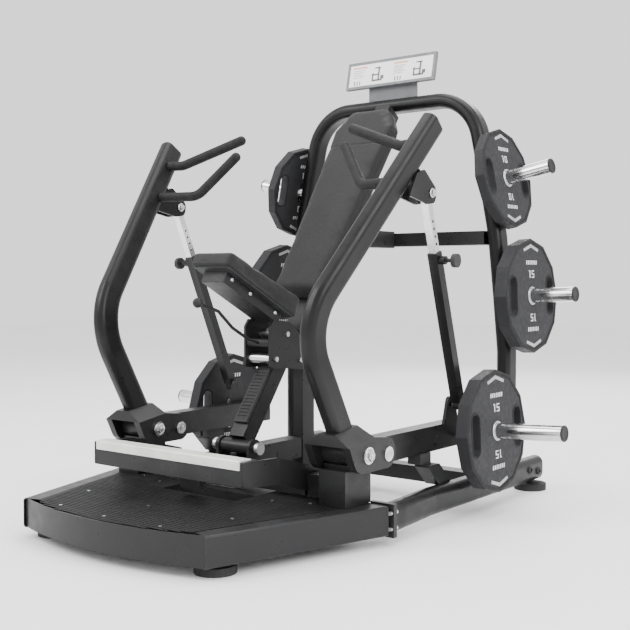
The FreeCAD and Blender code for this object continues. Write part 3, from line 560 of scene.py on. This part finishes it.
def rim_edging(tag, matrix, radius, body):
    """Low twelve-sided step just inside the plate's edge."""
    bm = bmesh.new()
    levels = [(radius - 1, -6), (radius - 1.5, -1.5), (radius - 4, 1.4), (radius - 11, 2.0),
              (radius - 14, 1.2), (radius - 16, -3)]
    rings = []
    for reach, height in levels:
        ring = [bm.verts.new(matrix @ Vector((x, y, height * MM)))
                for x, y in polygon(12, reach * MM, math.pi / 2)]
        rings.append(ring)
    for lower, upper in zip(rings, rings[1:] + rings[:1]):
        for i in range(12):
            j = (i + 1) % 12
            bm.faces.new((lower[i], lower[j], upper[j], upper[i]))
    piece(f"rim_edging_{tag}", bm, LOOKS["plates"], body, smooth=25.0)


def grip_edging(tag, matrix, radius, body):
    """Soft raised lip around each oval grip opening."""
    wide, tall, offset = 22, 0.33 * radius, 0.7 * radius
    path = []
    for i in range(40):
        turn = 2 * math.pi * i / 40
        lift = math.copysign(tall - wide, math.sin(turn)) if abs(math.sin(turn)) > 1e-6 else 0
        path.append((math.cos(turn), math.sin(turn), lift))
    for edge in (1, -1):
        bm = bmesh.new()
        rings = []
        for grow, height in ((0.4, -5), (0.6, 0.4), (2.4, 1.8), (6.0, 1.8), (9.0, 0.4), (9.4, -2)):
            ring = []
            for x, y, lift in path:
                spot = Vector((edge * offset + x * (wide + grow), y * (wide + grow) + lift, height)) * MM
                ring.append(bm.verts.new(matrix @ spot))
            rings.append(ring)
        for lower, upper in zip(rings, rings[1:] + rings[:1]):
            for i in range(len(path)):
                j = (i + 1) % len(path)
                bm.faces.new((lower[i], lower[j], upper[j], upper[i]))
        piece(f"grip_edging_{tag}_{edge + 1}", bm, LOOKS["plates"], body, smooth=35.0)


def plate_print(tag, matrix, radius, figure, body):
    """A wide chevron, a row of plain bars and the weight figure, upright above the hub and
    turned over below it."""
    light, bright = bmesh.new(), bmesh.new()
    lift = Matrix.Translation((0, 0, -0.4 * MM))
    scale = radius / 198
    for turn in (0.0, math.pi):
        half = matrix @ Matrix.Rotation(turn, 4, "Z") @ lift
        for way in (1, -1):
            tip = radius - 19
            arm = [(0, tip), (way * 56 * scale, tip - 17), (way * 52 * scale, tip - 26), (0, tip - 11)]
            slab(light, [(x * MM, y * MM) for x, y in arm], half, 1.0 * MM)
        for k in range(-3, 4):
            bar = [(k * 12 - 3, 108), (k * 12 + 3, 108), (k * 12 + 5, 122), (k * 12 - 1, 122)]
            slab(bright, [(x * scale * MM, y * scale * MM) for x, y in bar], half, 1.0 * MM)
        for outline in figure_strokes(figure):
            slab(bright, [(x * scale, y * scale) for x, y in outline], half, 1.0 * MM)
    piece(f"plate_chevrons_{tag}", light, PRINT["grey"], body, smooth=20.0)
    piece(f"plate_figures_{tag}", bright, PRINT["white"], body, smooth=20.0)


def figure_strokes(figure):
    """Strokes of a two-figure number, drawn as plain bars."""
    strokes = [rectangle(5, 26, -13, 75), rectangle(8, 4, -16, 86)]
    if figure == "15":
        strokes += [rectangle(18, 4, 9, 86), rectangle(4, 12, 2, 80), rectangle(18, 4, 9, 75),
                    rectangle(4, 10, 16, 69), rectangle(18, 4, 9, 64)]
    else:
        strokes += [rectangle(18, 4, 9, 86), rectangle(18, 4, 9, 64), rectangle(4, 18, 2, 75),
                    rectangle(4, 18, 16, 75)]
    return [[(x * MM, y * MM) for x, y in stroke] for stroke in strokes]


def horn_caps():
    """Black plastic plugs in the horn tips."""
    for side, way in SIDES.items():
        for name in ("upper", "middle", "lever"):
            axis = Vector(JOINTS[f"plate_slide_{name}_{side}"]["axis"])
            node, body = ("storage_horns", "root") if name != "lever" else (
                f"lever_horn_{side}", f"lever_{side}")
            zone = {"upper": (1.0, 9.0), "middle": (0.0, 1.0), "lever": (-9.0, 9.0)}[name]
            hull, matrix = end_loop(node, axis, lambda spot: spot.x * way > 0
                                    and zone[0] < spot.z < zone[1])
            bm = bmesh.new()
            spin(bm, [(25.4 * MM, -3 * MM), (25.4 * MM, 1 * MM), (24 * MM, 3 * MM), (19 * MM, 3.8 * MM),
                      (17 * MM, 3.0 * MM), (2 * MM, 3.4 * MM)], matrix, 48)
            piece(f"horn_cap_{name}_{side}", bm, LOOKS["plastic"], body)


# ------------------------------------------------------------------ caps, bolts, small parts

def end_caps():
    """Plastic plugs in the open ends of the tubes."""
    arm_run = Vector((126, 445, 581))
    for side, way in SIDES.items():
        bm = bmesh.new()
        end_cap(bm, f"handle_arm_{side}", Vector((arm_run.x * way, arm_run.y, arm_run.z)), 5 * MM)
        piece(f"arm_cap_{side}", bm, LOOKS["plastic"], f"arm_{side}")
        bm = bmesh.new()
        end_cap(bm, f"rear_rail_{side}", REAR, 9 * MM)
        piece(f"rail_cap_{side}", bm, LOOKS["plastic"], "root")
        bm = bmesh.new()
        end_cap(bm, "foot_bar", OUTWARD * way, 3 * MM)
        piece(f"foot_bar_cap_{side}", bm, LOOKS["plastic"], "root")
    bm = bmesh.new()
    slope = Matrix.Rotation(SEAT_SLOPE, 4, "X") @ REAR
    end_cap(bm, "seat_carriage", -slope, 4 * MM)
    end_cap(bm, "seat_carriage", slope, 4 * MM)
    piece("carriage_caps", bm, LOOKS["plastic"], "seat")


def tread_ribs():
    """Raised ribs along the foot bar's tread."""
    lowest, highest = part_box("foot_tread")
    bm = bmesh.new()
    width = highest[0] - lowest[0] - 2 * MM
    for i in range(7):
        y = lowest[1] + (5 + 6 * i) * MM
        slab(bm, rectangle(width, 2.6 * MM, 0, y), Matrix.Translation((0, 0, highest[2] - 0.3 * MM)),
             1.5 * MM, 0.6 * MM)
    for i in range(3):
        z = highest[2] - (6 + 6 * i) * MM
        matrix = at(Vector((0, lowest[1] + 0.3 * MM, z)), -REAR, OUTWARD)
        slab(bm, rectangle(width, 2.6 * MM), matrix, 1.2 * MM, 0.5 * MM)
    piece("tread_ribs", bm, LOOKS["tread"], "root")


def deck_ribs():
    """Long low anti-slip ribs across the deck, kept inside its outline."""
    lowest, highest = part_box("deck_panel")
    top = highest[2]
    front, rear = lowest[1], highest[1]
    bow = 55 * MM
    flank_front, flank_rear = 304 * MM, 474 * MM
    bm = bmesh.new()
    rows = 44
    for i in range(rows):
        y = front + 12 * MM + (rear - front - 24 * MM) * i / (rows - 1)
        share = (y - front - bow) / (rear - front - bow)
        half = flank_front + (flank_rear - flank_front) * max(share, 0.0) - 10 * MM
        if share < 0:
            half *= math.sqrt(max(0.0, 1 - (share * (rear - front - bow) / bow) ** 2))
        if half < 20 * MM:
            continue
        spans = [(-half, half)]
        if y > rear - 225 * MM:
            spans = [(-half, -158 * MM), (158 * MM, half)]
        for start, end in spans:
            slab(bm, rectangle(end - start, 5 * MM, (start + end) / 2, y),
                 Matrix.Translation((0, 0, top - 0.2 * MM)), 1.1 * MM, 0.8 * MM)
    piece("deck_ribs", bm, LOOKS["deck"], "root", smooth=30.0)


def pivot_trim():
    """Bright nuts and rings on the ends of the pivot pins."""
    for side, way in SIDES.items():
        lowest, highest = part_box(f"pivot_pins_{side}")
        swing = Vector(JOINTS[f"arm_swing_{side}"]["pos_m"])
        hinge = Vector(JOINTS[f"start_angle_{side}"]["pos_m"])
        for edge, x in ((-1, lowest[0]), (1, highest[0])):
            bm = bmesh.new()
            hex_bolt(bm, Vector((x, swing.y, swing.z)), OUTWARD * edge, 15 * MM, 8 * MM)
            matrix = at(Vector((x, hinge.y, hinge.z)), OUTWARD * edge)
            spin(bm, [(18 * MM, 0), (17.4 * MM, 1.4 * MM), (14 * MM, 1.4 * MM), (13.4 * MM, 0.4 * MM),
                      (10 * MM, 0.4 * MM), (9.6 * MM, 2.0 * MM), (5 * MM, 2.4 * MM), (4.4 * MM, 0.6 * MM),
                      (1 * MM, 0.6 * MM)], matrix, 48)
            tag = "outer" if edge == way else "inner"
            piece(f"pivot_nuts_{side}_{tag}", bm, LOOKS["fasteners"], f"arm_{side}")


def loose_bolts():
    """Bolt heads of the arch, rear rails, link pins and seat carriage."""
    for side, way in SIDES.items():
        bm = bmesh.new()
        for x, z in ((376, 1143), (398, 1044), (428, 812), (436, 700)):
            socket_screw(bm, Vector((way * (x - 4), 620, z)) * MM, OUTWARD * -way, 11 * MM)
        for y, z in ((705, 78), (770, 66)):
            socket_screw(bm, Vector((way * 515, y, z)) * MM, OUTWARD * way, 13 * MM)
        piece(f"arch_bolts_{side}", bm, LOOKS["plastic"], "root")
        bm = bmesh.new()
        for edge in (1, -1):
            hex_bolt(bm, Vector((way * 486 + edge * 12, 255, 350)) * MM, OUTWARD * edge, 10 * MM, 7 * MM)
        piece(f"link_foot_bolts_{side}", bm, LOOKS["fasteners"], f"lever_{side}")
        bm = bmesh.new()
        for edge in (1, -1):
            hex_bolt(bm, Vector((way * 516 + edge * 25, 2, 1000)) * MM, OUTWARD * edge, 11 * MM, 7 * MM)
        piece(f"link_head_bolts_{side}", bm, LOOKS["fasteners"], f"arm_{side}")
    low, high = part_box("seat_carriage")
    slope = Matrix.Rotation(SEAT_SLOPE, 4, "X")
    bm = bmesh.new()
    middle = Vector(((low[0] + high[0]) / 2, (low[1] + high[1]) / 2, (low[2] + high[2]) / 2))
    for edge in (1, -1):
        for reach in (-112, -20, 112):
            spot = middle + slope @ Vector((edge * 45, reach, 6)) * MM
            socket_screw(bm, spot, OUTWARD * edge, 7 * MM)
    piece("carriage_bolts", bm, LOOKS["fasteners"], "seat")


def sign_print():
    """Generic board: header bar, lines standing for text, and two simple machine outlines."""
    lowest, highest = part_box("sign_panel")
    turn = Matrix.Rotation(math.radians(-12), 4, "X")
    centre = (Vector(lowest) + Vector(highest)) / 2
    out = turn @ -REAR
    face = at(centre + out * 1.2 * MM, out, OUTWARD)
    marks = {"orange": [], "grey": [], "dark": []}
    for column in (-1, 1):
        x = column * 90
        marks["orange"].append(rectangle(62, 5, x - 46, 30))
        for row in range(5):
            marks["grey"].append(rectangle(50 - 7 * (row % 3), 2.4, x - 50 - 3.5 * (row % 3), 19 - 7 * row))
        marks["dark"] += [rectangle(7, 52, x + 40, -2), rectangle(44, 7, x + 34, -26),
                          rectangle(30, 5, x + 24, -4), rectangle(6, 30, x + 14, -12),
                          rectangle(26, 5, x + 34, 22), rectangle(14, 14, x + 56, -16)]
        marks["dark"] += [rectangle(4, 16, x - 66 + 12 * k, -30) for k in range(3)]
    for tone, outlines in marks.items():
        bm = bmesh.new()
        for outline in outlines:
            slab(bm, [(a * MM, b * MM) for a, b in outline], face, 0.5 * MM)
        piece(f"sign_print_{tone}", bm, PRINT[tone], "root")


# ------------------------------------------------------------------ stage, light, camera

def studio():
    """Pale flat floor, soft overhead light and a bright surround."""
    bm = bmesh.new()
    size = 12.0
    slab(bm, rectangle(2 * size, 2 * size), Matrix.Translation((0, 0, -0.02)), 0.02)
    mesh = bpy.data.meshes.new("studio_floor")
    bm.to_mesh(mesh)
    bm.free()
    floor = bpy.data.objects.new("studio_floor", mesh)
    bpy.context.scene.collection.objects.link(floor)
    look = Look("studio_floor_paint", specular=0.2)
    look.colour(look.mix(look.remap(look.noise(2, 2), 0, 1), (0.93, 0.93, 0.93), (0.96, 0.96, 0.96)))
    look.roughness(look.remap(look.noise(3, 2), 0.75, 0.85))
    mesh.materials.append(look.material)

    world = bpy.data.worlds.new("surround")
    world.use_nodes = True
    background = world.node_tree.nodes["Background"]
    background.inputs["Color"].default_value = (1.0, 1.0, 1.0, 1.0)
    background.inputs["Strength"].default_value = 1.5
    bpy.context.scene.world = world

    lamps = {
        "key": ((-2.6, -3.2, 3.6), 2.6, 170.0),
        "side": ((3.6, -0.6, 2.6), 2.4, 120.0),
        "top": ((0.2, 0.4, 4.2), 3.0, 150.0),
        "rear": ((-1.2, 4.2, 2.8), 2.4, 90.0),
    }
    for name, (place, width, power) in lamps.items():
        data = bpy.data.lights.new(name, "AREA")
        data.size = width
        data.energy = power
        lamp = bpy.data.objects.new(name, data)
        lamp.location = place
        aim = Vector((0, 0, 0.7)) - Vector(place)
        lamp.rotation_euler = aim.to_track_quat("-Z", "Y").to_euler()
        bpy.context.scene.collection.objects.link(lamp)


def camera():
    """Eye level with the seat, front right of the machine."""
    data = bpy.data.cameras.new("camera")
    data.lens = 59.0
    data.sensor_width = 36.0
    data.clip_end = 60.0
    made = bpy.data.objects.new("camera", data)
    made.location = (2.1244, -2.5981, 0.7570)
    made.rotation_euler = (math.radians(90 - 2.15), 0.0, math.radians(37.8))
    bpy.context.scene.collection.objects.link(made)
    bpy.context.scene.camera = made


camera()
studio()
dress_frame()
cushion("seat_cushion", "seat_pad", SEAT_SLOPE, "seat", [])
cushion("back_cushion", "back_pad", BACK_SLOPE, "root", [(0.78, 2.4 * MM)], corner=12 * MM)
plate_trim()
horn_caps()
end_caps()
tread_ribs()
deck_ribs()
pivot_trim()
loose_bolts()
sign_print()
